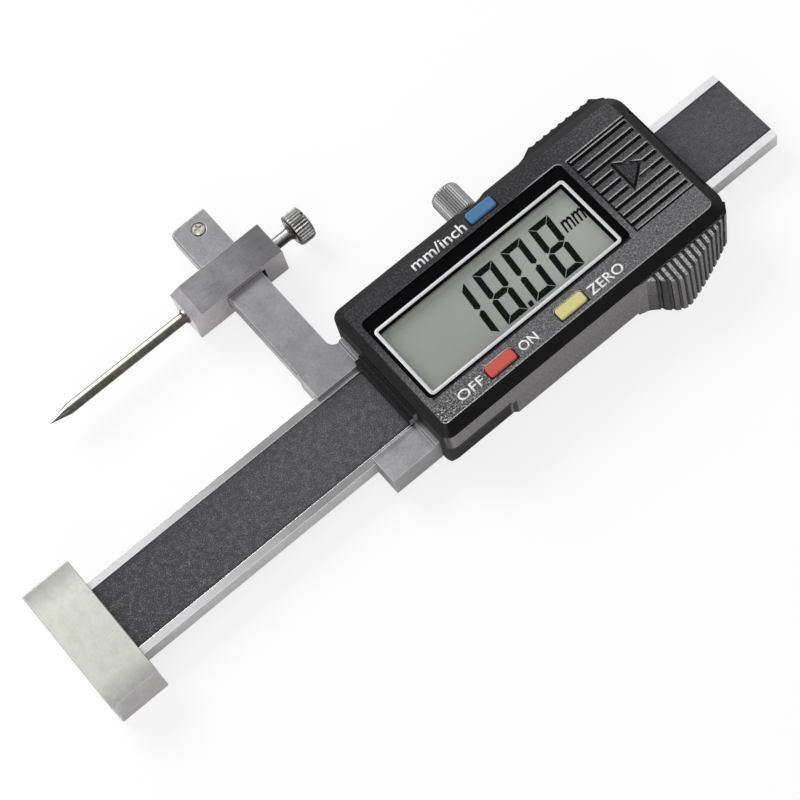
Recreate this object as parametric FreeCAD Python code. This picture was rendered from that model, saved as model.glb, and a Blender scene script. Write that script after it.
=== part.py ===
import FreeCAD, Part
import math
import os

# Digital step gauge, in millimetres.
# X runs along the beam, with X = 0 on the measuring face of the base.
# Y = 0 is the beam's centre line and +Y the side of the needle arm.
# Z = 0 is the beam's front face and +Z the side of the display.

V = FreeCAD.Vector
AXIS_X = V(1, 0, 0)
AXIS_Y = V(0, 1, 0)
AXIS_Z = V(0, 0, 1)

# Clearances
run_gap = 0.05          # running fit of a sliding pair, each side
bore_gap = 0.05         # radial play of a screw or pad in its bore
seat_gap = 0.02         # faces that rest on each other
button_gap = 0.10       # play of a button in its hole
sensor_gap = 0.15       # air between the reader board and the scale
hole_gap = 0.20         # air round what only passes through a wall
past = 1.0              # how far a cut runs past the faces it opens

# Base
base_len = 9.4          # along the beam
base_width = 25.0
base_thick = 8.0
base_proud = 1.9        # its front above the beam's front
base_wall = 2.0         # steel between the beam's end and the measuring face
base_edge = 0.15
base_screw_r = 1.5
base_screw_len = 2.2
base_screw_spread = 10.0

# Beam and scale
beam_width = 16.0
beam_thick = 3.5
beam_end_x = 146.1
scale_width = 13.0
scale_film_thick = 0.15
scale_board_thick = 0.80

# Stop screw at the beam's far end
stop_inset = 2.2
stop_head_r = 1.5
stop_head_thick = 0.6
stop_shank_r = 0.8
stop_shank_len = 2.0

# Slider frame
slider_x = 57.9         # face of the frame on the base's side, as photographed
frame_len = 68.6
flange = 4.7            # steel beside the channel
lip_thick = 1.0         # front of the lips above the beam
lip_cover = 0.73        # how far a lip reaches over the beam
deck_rise = 0.6         # step up to the seat of the housing
deck_start = 8.85       # from the frame's face to the foot of that step
deck_ramp = 0.3         # run of the step's slope
back_plate = 0.9

# Arm
arm_width = 7.4
arm_thick = 3.2
arm_reach = 48.5        # from the centre line to the arm's tip
arm_edge = 0.3          # chamfer of its long edge on the base's side
arm_tip_r = 1.2
arm_root_r = 1.5
arm_screw_inset = 2.8
arm_screw_side = 0.6    # from the arm's middle, away from the base
arm_screw_sunk = 0.4    # depth of the round seat of its head
arm_screw_seat_r = 1.42
arm_screw_head_r = 1.15
arm_screw_head = 0.8
arm_screw_dome = 0.28   # bevel of its rim
arm_screw_cross = 0.75  # reach of the cross recess
arm_screw_slot = 0.17   # half width of its slots
arm_screw_deep = 0.42
arm_screw_shank_r = 0.75
arm_screw_len = 2.0

# Gib
gib_thick = 0.5
gib_inset = 3.3         # from each end of the frame to the gib
gib_screw_r = 1.0
gib_screw_len = 3.4
gib_screw_inset = 18.3  # from each end of the frame

# Lock screw
lock_inset = 28.45      # from the frame's far end
lock_r = 1.45
lock_pad_r = 1.35
lock_pad_len = 1.2
lock_knob_r = 2.85
lock_knob_len = 6.4
lock_knob_gap = 1.8     # from the housing's side to the knob
lock_knurls = 34
lock_knurl = 0.2
lock_round = 0.8
lock_dish = 0.7         # depth of the hollow in the housing's side at the knob

# Needle carrier
block_len = 19.2
block_width = 7.0
block_ahead = 7.0       # the block's end before the arm, toward the base
block_front_wall = 1.2
block_back_wall = 2.35
block_slack = 0.7       # room between the arm and the slot on the screw's side
block_y = 35.36
block_bevel_len = 1.9
block_bevel = 0.5
needle_r = 1.0
needle_out = 29.2
needle_cone = 3.9
needle_in = 4.5
needle_collar_r = 1.4
needle_collar_len = 0.7
carrier_screw_r = 1.1
carrier_pad_r = 1.0
carrier_pad_len = 1.3
carrier_neck = 3.9      # shank in sight between block and head
carrier_flare_r = 1.6   # shank where it meets the head
carrier_flare_len = 0.9
carrier_knob_r = 3.15
carrier_knob_len = 3.4
carrier_round = 0.75    # rounding of the head's ends
carrier_knurl = 0.27
carrier_knurls = 30
carrier_slot_width = 0.5
carrier_slot_depth = 0.6

# Housing
housing_ahead = 9.9     # from the frame's face to the housing
housing_behind = 2.9    # from the frame's far end to the housing's
housing_half = 15.2
housing_top = 7.3
housing_part = 0.4      # height of the parting plane of the two shells
housing_floor = 0.95
side_play = 0.05        # between the frame and the shells
top_wall = 1.8
side_wall = 1.5
rim_drop = 1.5          # height of the sloped rim round the face
rim_start = 1.5         # width of the rim on the base's side
rim_end = 2.2
rim_side = 1.95
corner_start_r = 2.0
corner_end_r = 3.6
nose_reach = 1.6
nose_top = 3.2
nose_low = 0.3
brow_reach = 0.7
brow_top = 4.0
foot_edge = 0.9
relief_len = 13.8       # set-back foot of the sides near the base's end
relief_depth = 0.8
relief_ramp = 1.2

# Grips
grip_low_top = 0.86     # share of the -Y grip's bulge left at its top
grip_low_foot = 1.12    # share of it at the housing's foot
grip_shoulder = 1.6     # from the face down to the grips' tops
grip_low_slope = 0.34
grip_high_slope = 0.62
rib_pitch = 1.65        # of the +Y grip's points
rib_depth = 0.38
low_rib_pitch = 1.27
low_rib_groove = 0.62
low_ribs = 13
low_grip_peak = 4.0     # reach of the -Y grip at its peak
low_rib_start = 17.5    # from the housing's far end to the first groove
teeth = 8
tooth_start = 16.75     # from the housing's far end to the first point

# Window and display
window_inset = 2.6      # from the housing's near end to the window
window_to_cover = 1.1
window_low_edge = 6.8   # from the housing's sides to the window
window_high_edge = 5.1
window_depth = 1.1
window_thick = 0.8
window_corner = 1.0
view_margin_x = 0.9
view_margin_end = 1.4
view_low_margin = 0.6
view_high_margin = 2.5
lcd_margin = 0.5
lcd_thick = 2.0
lcd_drop = 0.1
zebra_width = 1.2
zebra_inset = 2.1       # from each end of the board to the rubber strips
zebra_edge = 0.4

# Boards
board_thick = 1.0
board_start = 3.9       # from the window's near end to the board
board_end = 1.0         # from the board to the window's far end
board_side_gap = 0.5
sensor_start = 10.6     # from the frame's face
sensor_side_gap = 0.2
chip_r = 3.5
chip_thick = 0.6

# Buttons
button_len = 5.6
button_width = 2.2
button_proud = 0.35
button_corner = 0.5
button_edge = 0.2
button_flange = 0.45
button_flange_side = 0.25
button_flange_thick = 0.6
button_stem_r = 0.8
button_travel = 0.4
button_root = 0.2       # overlap of cap, flange and stem
switch_side = 3.2
switch_width = 1.76
switch_thick = 0.8
units_inset = 15.2      # from the window's far end to the button
power_inset = 30.6
zero_inset = 15.6
units_edge = 2.9        # from the housing's side to the button's middle
low_row_edge = 4.1

# Battery and cover
battery_r = 5.8
battery_thick = 5.4
battery_low = 0.7       # underside of the cell above the beam
battery_edge = 0.3
battery_play = 0.15
battery_inset = 8.55    # from the housing's far end to the cell's middle
tray_wall = 0.85
tray_low = 0.15
leaf_thick = 0.15
leaf_width = 4.0
leaf_reach = 3.0        # past the cell's middle
leaf_hook = 0.3         # hold of the low leaf on the board's end
leaf_tab = 2.6
blade_height = 2.4
cover_len = 14.7
cover_low_edge = 6.8    # from the housing's sides to the cover
cover_high_edge = 5.9
cover_thick = 1.05
cover_rail = 0.75
cover_rail_thick = 0.5
cover_rail_root = 1.2
cover_play = 0.06
cover_pitch = 1.91
cover_groove = 0.75
cover_groove_depth = 0.55
cover_edge = 0.3        # bevel along the seams
cover_ribs = 12.2
arrow_x = 5.4
arrow_side = 0.45       # from the cover's middle toward +Y
arrow_len = 2.95
arrow_half = 2.4
arrow_margin = 0.7

# Housing screws
house_screw_r = 0.85
house_screw_head_r = 1.7
house_screw_head = 0.85
house_screw_len = 9.65
house_screw_boss_r = 2.0
house_screw_near = 14.1     # from the frame's face
house_screw_far = 2.4       # from the frame's far end
house_screw_edge = 2.3      # from the frame's sides
house_slot_half = 1.1
house_slot_width = 0.36
house_slot_depth = 0.4

# Sizes that follow
beam_half = beam_width / 2
base_front = base_proud
base_back = base_proud - base_thick
frame_half = beam_half + flange
frame_front = lip_thick
deck_z = lip_thick + deck_rise
frame_back = -beam_thick - run_gap - back_plate
frame_end = slider_x + frame_len
lip_edge = beam_half - lip_cover
channel_low = -beam_half - run_gap
channel_high = beam_half + run_gap + gib_thick + run_gap
beam_mid_z = -beam_thick / 2
house_x0 = slider_x + housing_ahead
house_x1 = frame_end + housing_behind
housing_len = house_x1 - house_x0
lock_x = frame_end - lock_inset
gib_screw_places = (slider_x + gib_screw_inset, frame_end - gib_screw_inset)
rim_z = housing_top - rim_drop
house_back = frame_back - side_play - housing_floor
ceiling_z = housing_top - top_wall
frame_room = frame_half + side_play
cavity_half = housing_half - side_wall
cover_x0 = house_x1 - cover_len
cover_z0 = housing_top - cover_thick
cover_low = cover_low_edge - housing_half
cover_high = housing_half - cover_high_edge
window_x0 = house_x0 + window_inset
window_x1 = cover_x0 - window_to_cover
window_low = window_low_edge - housing_half
window_high = housing_half - window_high_edge
lens_low = housing_top - window_depth
view_x0 = window_x0 + view_margin_x
view_x1 = window_x1 - view_margin_end
view_low = window_low + view_low_margin
view_high = window_high - view_high_margin
board_low = deck_z + seat_gap
board_top = board_low + board_thick
board_x0 = window_x0 + board_start
board_x1 = window_x1 - board_end
board_half = cavity_half - board_side_gap
lcd_x0 = view_x0 - lcd_margin
lcd_x1 = view_x1 + lcd_margin
lcd_y0 = view_low - lcd_margin
lcd_y1 = view_high + lcd_margin
lcd_top = ceiling_z - lcd_drop
lcd_low = lcd_top - lcd_thick
cavity_x0 = lcd_x0 - 3 * hole_gap
cavity_x1 = max(board_x1, lcd_x1) + 2 * hole_gap
cell_x = house_x1 - battery_inset
cup_r = battery_r + battery_play
house_screw_x = (slider_x + house_screw_near, frame_end - house_screw_far)
house_screw_y = frame_half - house_screw_edge
house_screw_top = house_back + house_screw_len
arm_x1 = slider_x + arm_width
arm_back = frame_front - arm_thick
arm_screw_x = (slider_x + arm_x1) / 2 + arm_screw_side
slot_top = frame_front + run_gap
slot_low = arm_back - run_gap
block_front = slot_top + block_front_wall
block_back = slot_low - block_back_wall
carrier_z = (block_front + block_back) / 2


def box(x0, x1, y0, y1, z0, z1):
    """Block between two corners."""
    return Part.makeBox(x1 - x0, y1 - y0, z1 - z0, V(x0, y0, z0))


def rod(radius, start, axis, length):
    """Round bar from a start point along an axis."""
    return Part.makeCylinder(radius, length, start, axis)


def prism(points, z0, z1):
    """Upright prism over an outline of (x, y) points."""
    corners = [V(x, y, z0) for x, y in points]
    face = Part.Face(Part.makePolygon(corners + corners[:1]))
    return face.extrude(V(0, 0, z1 - z0))


def rounded_outline(x0, x1, y_half, z, start_r, end_r):
    """Rectangle centred on the beam, with its own corner radius at each end."""
    corners = [
        (x0, -y_half, start_r, 180),
        (x1, -y_half, end_r, 270),
        (x1, y_half, end_r, 0),
        (x0, y_half, start_r, 90),
    ]
    edges = []
    ends = []
    for x, y, r, angle in corners:
        cx = x + r if x == x0 else x - r
        cy = y + r if y < 0 else y - r
        arc_points = []
        for part in (0, 45, 90):
            turn = math.radians(angle + part)
            arc_points.append(V(cx + r * math.cos(turn), cy + r * math.sin(turn), z))
        edges.append(Part.Arc(*arc_points).toShape())
        ends.append((arc_points[0], arc_points[2]))
    chain = []
    for i, edge in enumerate(edges):
        chain.append(edge)
        chain.append(Part.makeLine(ends[i][1], ends[(i + 1) % 4][0]))
    return Part.Wire(chain)


def slab(wire, height):
    """Upright body over a closed outline."""
    return Part.Face(wire).extrude(V(0, 0, height))


def rounded_block(x0, x1, y0, y1, z0, z1, radius):
    """Block with rounded upright edges."""
    block = box(x0, x1, y0, y1, z0, z1)
    upright = [e for e in block.Edges if abs(e.tangentAt(e.FirstParameter).z) > 0.9]
    return block.makeFillet(radius, upright)


def knurled(radius, length, teeth, depth, edge):
    """Knob along +Z from the origin: straight knurling between rounded ends."""
    points = []
    for i in range(teeth * 2):
        reach = radius if i % 2 == 0 else radius - depth
        turn = math.pi * i / teeth
        points.append((reach * math.cos(turn), reach * math.sin(turn)))
    star = prism(points, 0, length)
    profile = [V(0, 0, length), V(0, 0, 0)]
    for step in range(3):
        turn = math.radians(step * 45)
        profile.append(V(radius - edge * (1 - math.sin(turn)), 0, edge * (1 - math.cos(turn))))
    profile += [V(p.x, 0, length - p.z) for p in reversed(profile[2:])]
    face = Part.Face(Part.makePolygon(profile + profile[:1]))
    return star.common(face.revolve(V(0, 0, 0), AXIS_Z, 360))


def flare(shank_r, head_r, length):
    """Hollow cone in steps that widens a shank under its head, up to z = 0."""
    profile = [V(0, 0, -length)]
    for step in range(4):
        share = step / 3
        profile.append(V(shank_r + (head_r - shank_r) * share ** 2, 0, length * (share - 1)))
    profile.append(V(0, 0, 0))
    face = Part.Face(Part.makePolygon(profile + profile[:1]))
    return face.revolve(V(0, 0, 0), AXIS_Z, 360)


def turned(shape, axis, start):
    """Body made along +Z, turned to another axis and set at its start."""
    placed = shape.copy()
    placed.Placement = FreeCAD.Placement(start, FreeCAD.Rotation(AXIS_Z, axis))
    return placed


def export(name, solids):
    """Write one node, as one solid or a group of separate ones."""
    group = solids if isinstance(solids, list) else [solids]
    shape = group[0] if len(group) == 1 else Part.makeCompound(group)
    for solid in shape.Solids:
        if not solid.isValid():
            raise ValueError(name + " is not a valid solid")
    shape.exportStep("parts/" + name + ".step")


def make_base():
    """Base block with its pocket for the beam, and the two screws from its back."""
    block = box(0, base_len, -base_width / 2, base_width / 2, base_back, base_front)
    block = block.makeChamfer(base_edge, block.Edges)
    block = block.cut(box(base_wall, base_len + past, -beam_half - seat_gap, beam_half + seat_gap,
                          -beam_thick - seat_gap, seat_gap))
    screws = []
    screw_x = (base_wall + base_len) / 2
    for side in (-1, 1):
        top = V(screw_x, side * base_screw_spread / 2, -beam_thick - seat_gap)
        block = block.cut(rod(base_screw_r + seat_gap, top, -AXIS_Z, base_thick))
        screws.append(rod(base_screw_r, top, -AXIS_Z, base_screw_len))
    export("base_block", block)
    export("base_screws", screws)


def make_beam():
    """Beam with the sunk scale board and film, and the stop screw behind its far end."""
    start = base_wall + seat_gap
    groove_z = -scale_film_thick - scale_board_thick
    beam = box(start, beam_end_x, -beam_half, beam_half, -beam_thick, 0)
    groove = box(base_len, beam_end_x, -scale_width / 2, scale_width / 2, groove_z, 0)
    stop = V(beam_end_x - stop_inset, 0, -beam_thick)
    beam = beam.cut(groove.fuse(rod(stop_shank_r + seat_gap, stop, AXIS_Z, stop_shank_len)))
    export("beam", beam)
    export("scale_board", box(base_len + seat_gap, beam_end_x, -scale_width / 2, scale_width / 2,
                              groove_z, -scale_film_thick))
    export("scale_film", box(base_len + seat_gap, beam_end_x, -scale_width / 2, scale_width / 2,
                             -scale_film_thick, 0))
    screw = rod(stop_head_r, stop, -AXIS_Z, stop_head_thick)
    export("beam_stop_screw", screw.fuse(rod(stop_shank_r, stop, AXIS_Z, stop_shank_len)))


def make_frame():
    """Steel frame: channel with lips, stepped deck, arm and lug in one piece."""
    frame = box(slider_x, frame_end, -frame_half, frame_half, frame_back, frame_front)
    step_x = slider_x + deck_start
    side = [V(step_x, -frame_half, frame_front), V(step_x + deck_ramp, -frame_half, deck_z),
            V(frame_end, -frame_half, deck_z), V(frame_end, -frame_half, frame_front)]
    deck = Part.Face(Part.makePolygon(side + side[:1])).extrude(V(0, 2 * frame_half, 0))
    arm = box(slider_x, arm_x1, 0, arm_reach, arm_back, frame_front)
    tip = [e for e in arm.Edges if abs(e.tangentAt(e.FirstParameter).z) > 0.9
           and e.CenterOfMass.y > block_y and e.CenterOfMass.x < slider_x + arm_width / 2]
    arm = arm.makeFillet(arm_tip_r, tip)
    long_edge = [e for e in arm.Edges if abs(e.CenterOfMass.z - frame_front) < 0.01
                 and abs(e.CenterOfMass.x - slider_x) < 0.01]
    arm = arm.makeChamfer(arm_edge, long_edge)
    root = box(arm_x1, arm_x1 + arm_root_r, frame_half, frame_half + arm_root_r, arm_back, frame_front)
    root = root.cut(rod(arm_root_r, V(arm_x1 + arm_root_r, frame_half + arm_root_r, arm_back - past),
                        AXIS_Z, arm_thick + 2 * past))
    frame = frame.fuse(deck).fuse(arm).fuse(root).removeSplitter()
    channel = box(slider_x - past, frame_end + past, channel_low, channel_high,
                  -beam_thick - run_gap, run_gap)
    mouth = box(slider_x - past, frame_end + past, -lip_edge, lip_edge, 0, deck_z + past)
    frame = frame.cut(channel.fuse(mouth))
    for x in gib_screw_places:
        frame = frame.cut(rod(gib_screw_r + seat_gap, V(x, beam_half, beam_mid_z),
                              AXIS_Y, flange + past))
    frame = frame.cut(rod(lock_r + bore_gap, V(lock_x, beam_half, beam_mid_z), AXIS_Y, flange + past))
    for x in house_screw_x:
        for y in (-house_screw_y, house_screw_y):
            frame = frame.cut(rod(house_screw_r + bore_gap, V(x, y, frame_back - past),
                                  AXIS_Z, deck_z - frame_back + 2 * past))
    screw = V(arm_screw_x, arm_reach - arm_screw_inset, frame_front - arm_screw_sunk)
    frame = frame.cut(rod(arm_screw_seat_r, screw, AXIS_Z, past))
    frame = frame.cut(rod(arm_screw_shank_r + seat_gap, screw, -AXIS_Z, arm_screw_len))
    export("slider_frame", frame)
    make_arm_screw(screw)


def make_arm_screw(place):
    """Pan head screw with a cross recess, in its round seat near the arm's tip."""
    head = rod(arm_screw_head_r, place, AXIS_Z, arm_screw_head)
    rim = [e for e in head.Edges if abs(e.CenterOfMass.z - place.z - arm_screw_head) < 0.01]
    head = head.makeChamfer(arm_screw_dome, rim)
    top = place.z + arm_screw_head
    cross = []
    for along, across in ((arm_screw_cross, arm_screw_slot), (arm_screw_slot, arm_screw_cross)):
        cross.append(box(place.x - along, place.x + along, place.y - across, place.y + across,
                         top - arm_screw_deep, top + past))
    shank = rod(arm_screw_shank_r, place, -AXIS_Z, arm_screw_len)
    export("arm_stop_screw", head.cut(cross[0].fuse(cross[1])).fuse(shank))


def make_gib():
    """Gib strip in the channel and the two set screws behind it."""
    gib_low = beam_half + run_gap
    gib = box(slider_x + gib_inset, frame_end - gib_inset, gib_low, gib_low + gib_thick,
              -beam_thick + 2 * run_gap, -2 * run_gap)
    export("gib_strip", gib)
    seat = gib_low + gib_thick + seat_gap
    screws = [rod(gib_screw_r, V(x, seat, beam_mid_z), AXIS_Y, gib_screw_len)
              for x in gib_screw_places]
    export("gib_screws", screws)


def make_lock():
    """Brass pad on the gib and the knurled screw that pushes it."""
    seat = beam_half + run_gap + gib_thick + seat_gap
    x = lock_x
    export("lock_pad", rod(lock_pad_r, V(x, seat, beam_mid_z), AXIS_Y, lock_pad_len))
    tip = seat + lock_pad_len + seat_gap
    knob_y = housing_half + lock_knob_gap
    shank = rod(lock_r, V(x, tip, beam_mid_z), AXIS_Y, knob_y - tip + lock_r)
    knob = knurled(lock_knob_r, lock_knob_len, lock_knurls, lock_knurl, lock_round)
    export("lock_screw", turned(knob, AXIS_Y, V(x, knob_y, beam_mid_z)).fuse(shank))


def make_carrier():
    """Block on the arm, its needle, the pad and the thumb screw."""
    x0 = slider_x - block_ahead
    x1 = x0 + block_len
    y0 = block_y - block_width / 2
    y1 = block_y + block_width / 2
    top = block_front
    low = block_back
    side = [V(x0, y0, low), V(x1, y0, low), V(x1, y0, top), V(x0 + block_bevel_len, y0, top),
            V(x0, y0, top - block_bevel)]
    block = Part.Face(Part.makePolygon(side + side[:1])).extrude(V(0, block_width, 0))
    slot_x0 = slider_x - run_gap
    slot_x1 = arm_x1 + block_slack
    block = block.cut(box(slot_x0, slot_x1, y0 - past, y1 + past, slot_low, slot_top))
    block = block.cut(rod(carrier_screw_r + bore_gap, V(slot_x1 - past / 2, block_y, carrier_z),
                          AXIS_X, block_len))
    block = block.cut(rod(needle_r + seat_gap, V(x0 - past, block_y, carrier_z), AXIS_X, needle_in + past))
    export("carrier_block", block)

    tip_x = x0 - needle_out
    profile = [V(tip_x, 0, 0), V(tip_x, 0.06, 0), V(tip_x + needle_cone, needle_r, 0),
               V(x0 - needle_collar_len, needle_r, 0), V(x0 - needle_collar_len * 0.4, needle_collar_r, 0),
               V(x0 - seat_gap, needle_collar_r, 0), V(x0 - seat_gap, needle_r, 0),
               V(x0 + needle_in - seat_gap, needle_r, 0), V(x0 + needle_in - seat_gap, 0, 0)]
    needle = Part.Face(Part.makePolygon(profile + profile[:1])).revolve(V(0, 0, 0), AXIS_X, 360)
    needle.translate(V(0, block_y, carrier_z))
    export("needle", needle)

    pad_x = arm_x1 + seat_gap
    export("carrier_pad", rod(carrier_pad_r, V(pad_x, block_y, carrier_z), AXIS_X, carrier_pad_len))
    tip = pad_x + carrier_pad_len + seat_gap
    knob_x = x1 + carrier_neck
    shank = rod(carrier_screw_r, V(tip, block_y, carrier_z), AXIS_X, knob_x - tip + carrier_round)
    knob = knurled(carrier_knob_r, carrier_knob_len, carrier_knurls, carrier_knurl, carrier_round)
    knob = knob.fuse(flare(carrier_screw_r, carrier_flare_r, carrier_flare_len))
    half = carrier_slot_width / 2
    knob = knob.cut(box(-carrier_knob_r, carrier_knob_r, -half, half,
                        carrier_knob_len - carrier_slot_depth, carrier_knob_len + past))
    export("carrier_screw", turned(knob, AXIS_X, V(knob_x, block_y, carrier_z)).fuse(shank))


def low_grip_line(share):
    """Plan of the -Y grip: a hollow run-in, the peak, and a long fall to the corner."""
    line = [(-20.9, 0), (-19.2, 0.45), (-17.9, 1.3), (-16.0, 3.1), (-14.9, 3.75), (-13.9, low_grip_peak), (-12.9, 3.95),
            (-8.6, 2.75), (-4.0, 1.1), (-1.2, -0.1), (-0.1, -1.7)]
    points = [(house_x1 + x, -housing_half - reach * (share if reach > 0 else 1)) for x, reach in line]
    inner = housing_half - corner_end_r
    return [(points[0][0], -inner)] + points + [(house_x1 - corner_end_r / 2, -inner)]


def high_grip_line(share):
    """Plan of the +Y grip: a short ramp and a straight run to the corner."""
    line = [(-20.6, 0), (-19.0, 0.5), (-17.6, 1.35), (-16.75, 1.85), (-3.3, 1.85), (-2.6, 0.6), (-1.6, -0.3)]
    points = [(house_x1 + x, housing_half + reach * (share if reach > 0 else 1)) for x, reach in line]
    inner = housing_half - corner_end_r
    return [(points[0][0], inner)] + points + [(house_x1 - corner_end_r / 2, inner)]


def grip(side, z0, z1, low_share, high_share):
    """One shell's part of a grip, between its outlines at two levels."""
    line = low_grip_line if side < 0 else high_grip_line
    wires = []
    for z, share in ((z0, low_share), (z1, high_share)):
        points = [V(x, y, z) for x, y in line(share)]
        wires.append(Part.makePolygon(points + points[:1]))
    return Part.makeLoft(wires, True, True)


def reach_at(line, x):
    """Reach of an outline at x, between its listed corners."""
    for (xa, ya), (xb, yb) in zip(line, line[1:]):
        if xa <= x <= xb:
            return abs(ya + (yb - ya) * (x - xa) / (xb - xa))
    return abs(line[-1][1])


def low_grooves(share, z0, z1, lean):
    """Upright V grooves in the -Y grip; lean follows the draft of its side."""
    line = low_grip_line(share)[1:-1]
    half = low_rib_groove / 2
    grooves = []
    for i in range(low_ribs):
        x = house_x1 - low_rib_start + i * low_rib_pitch
        wires = []
        for z, y in ((z0, -reach_at(line, x)), (z1, lean - reach_at(line, x))):
            points = [V(x, y + rib_depth, z), V(x + half, y, z), V(x + half, y - 3 * past, z),
                      V(x - half, y - 3 * past, z), V(x - half, y, z)]
            wires.append(Part.makePolygon(points + points[:1]))
        grooves.append(Part.makeLoft(wires, True, True))
    return grooves


def high_teeth(z0, z1):
    """Round hollows between the sharp points of the +Y grip."""
    radius = (rib_pitch ** 2 / 4 + rib_depth ** 2) / (2 * rib_depth)
    y = max(y for x, y in high_grip_line(1)) + radius - rib_depth
    x0 = house_x1 - tooth_start
    return [rod(radius, V(x0 + (i + 0.5) * rib_pitch, y, z0), AXIS_Z, z1 - z0) for i in range(teeth)]


def top_slope_cut(side):
    """Wedge that slopes the top of a grip down to its rim."""
    z = housing_top - grip_shoulder
    fall = (grip_low_slope if side < 0 else grip_high_slope) * 2 * corner_end_r
    inner = side * housing_half
    outer = side * (housing_half + 2 * corner_end_r)
    points = [V(house_x0, inner, z), V(house_x0, outer, z - fall),
              V(house_x0, outer, z + past), V(house_x0, inner, z + past)]
    return Part.Face(Part.makePolygon(points + points[:1])).extrude(V(housing_len + past, 0, 0))


def grip_top_grooves():
    """Grooves in the sloped top of the -Y grip, in line with those of its side."""
    z = housing_top - grip_shoulder - rib_depth
    outer = -housing_half - 2 * corner_end_r
    fall = grip_low_slope * 2 * corner_end_r
    grooves = []
    for i in range(low_ribs):
        x = house_x1 - low_rib_start + i * low_rib_pitch
        points = [V(x, -housing_half - seat_gap, z + rib_depth / 3), V(x, outer, z - fall),
                  V(x, outer, z + 2 * past), V(x, -housing_half - seat_gap, z + 2 * past)]
        wedge = Part.Face(Part.makePolygon(points + points[:1])).extrude(V(low_rib_groove, 0, 0))
        wedge.translate(V(-low_rib_groove / 2, 0, 0))
        grooves.append(wedge)
    return grooves


def make_front_housing():
    """Front shell: sloped rim, window, button holes, battery bay, grips and screw bosses."""
    outer = rounded_outline(house_x0, house_x1, housing_half, housing_part,
                            corner_start_r, corner_end_r)
    body = slab(outer, rim_z - housing_part)
    low = rounded_outline(house_x0, house_x1, housing_half, rim_z, corner_start_r, corner_end_r)
    high = rounded_outline(house_x0 + rim_start, house_x1 - rim_end, housing_half - rim_side,
                           housing_top, 0.8, 1.2)
    shell = body.fuse(Part.makeLoft([low, high], True, True))
    grip_top = housing_top - grip_shoulder
    low_wing = grip(-1, housing_part, grip_top, 1, grip_low_top).cut(top_slope_cut(-1))
    lean = (1 - grip_low_top) * low_grip_peak
    low_wing = low_wing.cut(Part.makeCompound(low_grooves(1, housing_part, grip_top, lean)))
    low_wing = low_wing.cut(Part.makeCompound(grip_top_grooves()))
    high_wing = grip(1, housing_part, grip_top, 1, 1).cut(top_slope_cut(1))
    high_wing = high_wing.cut(Part.makeCompound(high_teeth(housing_part, rim_z)))
    shell = shell.fuse(low_wing).fuse(high_wing).removeSplitter()

    nose_half = lip_edge - 2 * run_gap
    nose = box(house_x0 - nose_reach, house_x0 + corner_start_r, -nose_half, nose_half,
               nose_low, nose_top)
    brow = box(house_x0 - brow_reach, house_x0 + corner_start_r, -nose_half, nose_half,
               nose_top, brow_top)
    shell = shell.fuse(nose).fuse(brow)

    frame_seat = box(house_x0 - past, frame_end + side_play, -frame_room, frame_room,
                     housing_part - past, deck_z + seat_gap)
    cavity = box(cavity_x0, cavity_x1, -cavity_half, cavity_half, housing_part - past, ceiling_z)
    nose_end = slider_x + sensor_start - seat_gap
    keep = box(house_x0 - nose_reach, nose_end, -nose_half, nose_half, nose_low, deck_z + past)
    shell = shell.cut(frame_seat.cut(keep)).cut(cavity)
    shell = add_bosses(shell)
    shell = add_battery_bay(shell)
    shell = cut_window(shell)
    for x, y in button_places():
        shell = shell.cut(rounded_block(x - button_len / 2 - button_gap, x + button_len / 2 + button_gap,
                                        y - button_width / 2 - button_gap,
                                        y + button_width / 2 + button_gap,
                                        ceiling_z - past, housing_top + past, button_corner))
    shell = shell.cut(lock_hollow())
    export("front_housing", shell.removeSplitter())


def lock_hollow():
    """Shallow hollow in the housing's side round the lock screw's knob."""
    reach = housing_top - rim_drop * 0.6 - beam_mid_z
    half = lock_knob_r + 2 * hole_gap
    round_part = rod(reach, V(lock_x, housing_half - lock_dish, beam_mid_z), AXIS_Y, lock_dish + past)
    return round_part.common(box(lock_x - half, lock_x + half, 0, housing_half + 2 * past,
                                 house_back - past, housing_top + past))


def add_bosses(shell):
    """Round bosses over the deck that take the housing screws."""
    for x in house_screw_x:
        for y in (-house_screw_y, house_screw_y):
            place = V(x, y, deck_z + seat_gap)
            shell = shell.fuse(rod(house_screw_boss_r, place, AXIS_Z, ceiling_z - place.z + hole_gap))
            shell = shell.cut(rod(house_screw_r + seat_gap, place, AXIS_Z,
                                  house_screw_top + hole_gap - place.z))
    return shell


def add_battery_bay(shell):
    """Cup for the cell, its opening and the grooves that guide the cover."""
    cup = rod(cup_r + tray_wall, V(cell_x, 0, tray_low), AXIS_Z, deck_z + tray_wall - tray_low)
    shell = shell.fuse(cup)
    floor_z = battery_low - leaf_thick - seat_gap
    shell = shell.cut(rod(cup_r, V(cell_x, 0, floor_z), AXIS_Z, housing_top))
    opening = box(cover_x0 - cover_play, house_x1 + past, cover_low - cover_play, cover_high + cover_play,
                  cover_z0 - cover_play, housing_top + past)
    rail_top = cover_z0 + cover_play
    rails = box(cover_x0 - cover_play, house_x1 + past, cover_low - cover_rail - cover_play,
                cover_high + cover_rail + cover_play, cover_z0 - cover_rail_thick - cover_play, rail_top)
    shell = shell.cut(opening.fuse(rails))
    leaf_slot = box(board_x1 - leaf_hook - hole_gap, cell_x, -leaf_width / 2 - seat_gap, leaf_width / 2 + seat_gap,
                    floor_z, battery_low)
    side_slot = box(board_x1 - leaf_tab - hole_gap, cell_x - battery_r + past / 2,
                    -leaf_width / 2 - seat_gap, leaf_width / 2 + seat_gap,
                    board_top, board_top + blade_height + hole_gap)
    return shell.cut(leaf_slot).cut(side_slot)


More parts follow.
